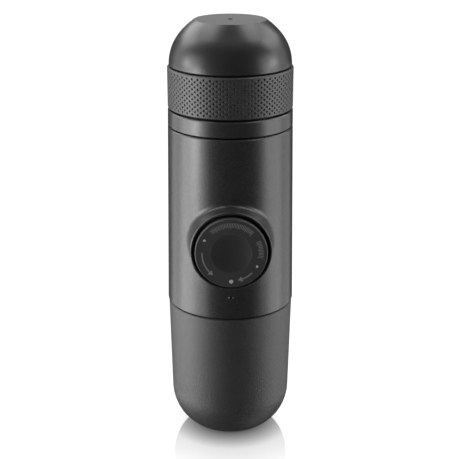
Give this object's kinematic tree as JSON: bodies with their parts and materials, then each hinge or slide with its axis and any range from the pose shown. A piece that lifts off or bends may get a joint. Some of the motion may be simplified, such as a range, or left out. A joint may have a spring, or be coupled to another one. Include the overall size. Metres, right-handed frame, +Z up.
{
  "type": "handheld manual espresso maker",
  "caption": "Slim cylindrical hand-pumped espresso maker standing on its tank: domed cup on top, knurled band, plain collar, tapered body with a round thumb piston on its front.",
  "frame": {"origin": "centre of the flat foot under the water tank, on the surface it stands on", "axes": "+Z up along the maker's long axis, -Y to the front where the piston is, +X to the viewer's right"},
  "size_m": [0.0524, 0.0597, 0.175],
  "materials": {
    "shell_plastic": "satin charcoal plastic with a fine spark-eroded grain",
    "piston_plastic": "fine matt black plastic",
    "frame_plastic": "smooth black moulded plastic",
    "seal_silicone": "matt dark silicone",
    "bright_steel": "satin stainless steel",
    "spring_steel": "drawn spring steel"
  },
  "bodies": {
    "tank": {"water_tank": "shell_plastic"},
    "tank_seal": {"tank_gasket": "seal_silicone"},
    "pump_body": {"casing": "shell_plastic", "casing_screws": "bright_steel", "pump_frame": "frame_plastic", "pump_cylinder": "bright_steel", "cylinder_seal": "seal_silicone", "piston_guide": "piston_plastic", "inlet_strainer": "bright_steel", "inlet_valve_seat": "frame_plastic", "inlet_valve": "seal_silicone", "outlet_valve_seat": "frame_plastic", "outlet_valve": "seal_silicone", "shower_screen": "bright_steel", "screen_screw": "bright_steel", "brew_gasket": "seal_silicone"},
    "piston_seat": {"spring_washer": "frame_plastic", "piston_spring": "spring_steel"},
    "piston": {"piston_knob": "piston_plastic", "plunger": "frame_plastic", "plunger_seal": "seal_silicone"},
    "basket": {"filter_basket": "bright_steel"},
    "head": {"outlet_head": "shell_plastic", "spout_nozzle": "bright_steel", "cup_seal": "seal_silicone"},
    "cup": {"espresso_cup": "shell_plastic", "cup_grip_ring": "shell_plastic"},
    "scoop": {"scoop": "frame_plastic"}
  },
  "joints": [
    {"name": "body_climb", "type": "slide", "parent": "tank", "child": "tank_seal", "axis": [0, 0, 1], "range_m": [0, 0.01]},
    {"name": "body_unscrew", "type": "hinge", "parent": "tank_seal", "child": "pump_body", "pos_m": [0, 0, 0.0596], "axis": [0, 0, 1], "range_deg": [0, 450]},
    {"name": "piston_unlock", "type": "hinge", "parent": "pump_body", "child": "piston_seat", "pos_m": [0, 0, 0.09], "axis": [0, -1, 0], "range_deg": [0, 60]},
    {"name": "piston_stroke", "type": "slide", "parent": "piston_seat", "child": "piston", "axis": [0, -1, 0], "range_m": [0, 0.024], "deforming": ["piston_spring"]},
    {"name": "head_climb", "type": "slide", "parent": "pump_body", "child": "basket", "axis": [0, 0, 1], "range_m": [0, 0.01]},
    {"name": "head_unscrew", "type": "hinge", "parent": "basket", "child": "head", "pos_m": [0, 0, 0.1187], "axis": [0, 0, 1], "range_deg": [0, 450]},
    {"name": "cup_lift", "type": "slide", "parent": "head", "child": "cup", "axis": [0, 0, 1], "range_m": [0, 0.03]},
    {"name": "scoop_lift", "type": "slide", "parent": "head", "child": "scoop", "axis": [0, 0, 1], "range_m": [0, 0.015]}
  ],
  "couplings": [
    {"joint": "body_climb", "follows": "body_unscrew", "m_per_rad": 0.0012732},
    {"joint": "head_climb", "follows": "head_unscrew", "m_per_rad": 0.0012732}
  ]
}
